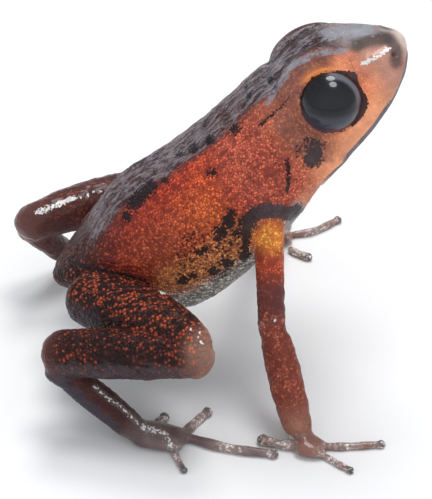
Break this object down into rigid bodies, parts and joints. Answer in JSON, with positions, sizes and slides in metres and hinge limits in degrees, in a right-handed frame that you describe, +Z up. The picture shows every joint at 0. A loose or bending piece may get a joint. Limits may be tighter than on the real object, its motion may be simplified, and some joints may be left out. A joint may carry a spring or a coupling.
{
  "type": "geminis poison frog",
  "caption": "Still, life-size model of a tiny orange-red poison frog standing with its head raised, resting flat on its hands and feet.",
  "frame": {"origin": "on the floor under the middle of the frog's bounding box", "axes": "+X the way the body faces, +Y to the frog's left, +Z up from the floor"},
  "size_m": [0.0118, 0.0144, 0.0112],
  "materials": {
    "torso_skin": "moist, granular, dark blotches",
    "head_skin": "moist, finely granular",
    "eye": "wet gloss",
    "leg_skin": "moist, granular",
    "foot_skin": "moist, smooth",
    "arm_skin": "moist, granular",
    "forearm_skin": "moist, granular"
  },
  "bodies": {
    "root": {"torso": "torso_skin", "head": "head_skin", "eye_right": "eye", "eye_left": "eye", "thigh_right": "leg_skin", "thigh_left": "leg_skin", "shank_right": "leg_skin", "shank_left": "leg_skin", "tarsus_right": "foot_skin", "tarsus_left": "foot_skin", "foot_right": "foot_skin", "foot_left": "foot_skin", "upper_arm_right": "arm_skin", "upper_arm_left": "arm_skin", "forearm_right": "forearm_skin", "forearm_left": "forearm_skin", "hand_right": "foot_skin", "hand_left": "foot_skin"}
  },
  "joints": []
}
